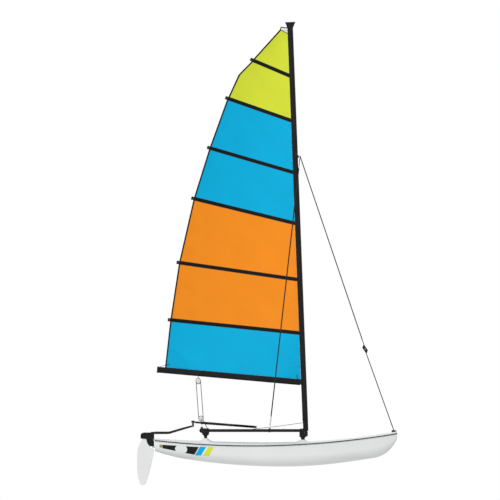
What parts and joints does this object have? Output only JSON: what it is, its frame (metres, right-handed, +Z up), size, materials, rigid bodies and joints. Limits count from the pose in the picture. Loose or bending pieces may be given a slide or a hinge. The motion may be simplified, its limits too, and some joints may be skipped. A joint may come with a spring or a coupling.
{
  "type": "beach sailing catamaran",
  "caption": "Small two-hulled sailing boat with a trampoline, a turning raked mast, boom and fully battened striped sail, wire stays, kick-up rudders and a linked tiller bar with extension.",
  "frame": {"origin": "on the waterline of the empty boat, on the centreline, midway between transoms and bows", "axes": "+X forward to the bows, +Y to port, +Z up"},
  "size_m": [4.5746, 2.335, 8.1396],
  "materials": {
    "hull": "glossy white gelcoat",
    "deck": "white gelcoat with a fine grip texture",
    "gunwale": "black lip moulding",
    "casting": "black powder coat on cast aluminium",
    "frame": "black anodised tube",
    "spar": "black anodised extrusion",
    "track": "clear anodised",
    "mesh": "black woven mesh",
    "steel": "stainless steel",
    "wire": "black vinyl coat over wire rope",
    "cloth_lime": "woven sailcloth",
    "cloth_cyan": "woven sailcloth",
    "cloth_orange": "woven sailcloth",
    "batten": "black batten pocket tape",
    "headboard": "white plate",
    "blade": "white moulded blade",
    "grip": "black foam sleeve on tube"
  },
  "bodies": {
    "platform": {"hull_starboard": "hull", "hull_port": "hull", "deck_starboard": "deck", "deck_port": "deck", "gunwales": "gunwale", "pylons": "casting", "rear_castings": "casting", "front_castings": "casting", "front_beam": "frame", "rear_beam": "frame", "side_rails": "frame", "trampoline": "mesh", "traveller_track": "track", "traveller_car": "casting", "mast_step": "casting", "stay_shackle": "steel", "shrouds": "wire", "shroud_anchors": "steel", "shroud_adjusters": "steel", "forestay": "wire", "bridle_link": "steel", "bridle_legs": "wire", "bow_tangs": "steel", "gudgeons": "steel", "pintles": "steel"},
    "mast_spar": {"mast_base": "casting", "mast": "spar", "masthead": "casting"},
    "boom_sail": {"boom": "spar", "boom_cap": "casting", "boom_jaws": "casting", "sail_lime": "cloth_lime", "sail_cyan_upper": "cloth_cyan", "sail_orange": "cloth_orange", "sail_cyan_lower": "cloth_cyan", "battens": "batten", "headboard": "headboard"},
    "rudder_starboard": {"stock_starboard": "casting", "pivot_bolt_starboard": "steel", "tiller_arm_starboard": "frame"},
    "rudder_port": {"stock_port": "casting", "pivot_bolt_port": "steel", "tiller_arm_port": "frame"},
    "rudder_blade_starboard": {"blade_starboard": "blade"},
    "rudder_blade_port": {"blade_port": "blade"},
    "tiller_crossbar": {"tiller_bar": "frame"},
    "tiller_stick": {"tiller_extension": "grip"}
  },
  "joints": [
    {"name": "boom_swing", "type": "hinge", "parent": "platform", "child": "boom_sail", "pos_m": [0.513, 0, 0.48], "axis": [-0.0384, 0, 0.9993], "range_deg": [-50, 50]},
    {"name": "mast_rotation", "type": "hinge", "parent": "platform", "child": "mast_spar", "pos_m": [0.513, 0, 0.48], "axis": [-0.0384, 0, 0.9993], "range_deg": [-50, 50]},
    {"name": "rudder_steer", "type": "hinge", "parent": "platform", "child": "rudder_starboard", "pos_m": [-2.168, -1.005, 0.32], "axis": [0, 0, 1], "range_deg": [-40, 40]},
    {"name": "rudder_steer_port", "type": "hinge", "parent": "platform", "child": "rudder_port", "pos_m": [-2.168, 1.005, 0.32], "axis": [0, 0, 1], "range_deg": [-40, 40]},
    {"name": "tiller_bar_pivot", "type": "hinge", "parent": "rudder_starboard", "child": "tiller_crossbar", "pos_m": [-1.467, -1.005, 0.604], "axis": [0, 0, 1], "range_deg": [-40, 40]},
    {"name": "extension_swing", "type": "hinge", "parent": "tiller_crossbar", "child": "tiller_stick", "pos_m": [-1.467, 0, 0.638], "axis": [0, 0, 1], "range_deg": [-50, 90]},
    {"name": "blade_kickup_starboard", "type": "hinge", "parent": "rudder_starboard", "child": "rudder_blade_starboard", "pos_m": [-2.285, -1.005, 0.385], "axis": [0, 1, 0], "range_deg": [0, 75]},
    {"name": "blade_kickup_port", "type": "hinge", "parent": "rudder_port", "child": "rudder_blade_port", "pos_m": [-2.285, 1.005, 0.385], "axis": [0, 1, 0], "range_deg": [0, 75]}
  ],
  "couplings": [
    {"joint": "mast_rotation", "follows": "boom_swing", "ratio": 1},
    {"joint": "rudder_steer_port", "follows": "rudder_steer", "ratio": 1},
    {"joint": "tiller_bar_pivot", "follows": "rudder_steer", "ratio": -1}
  ]
}
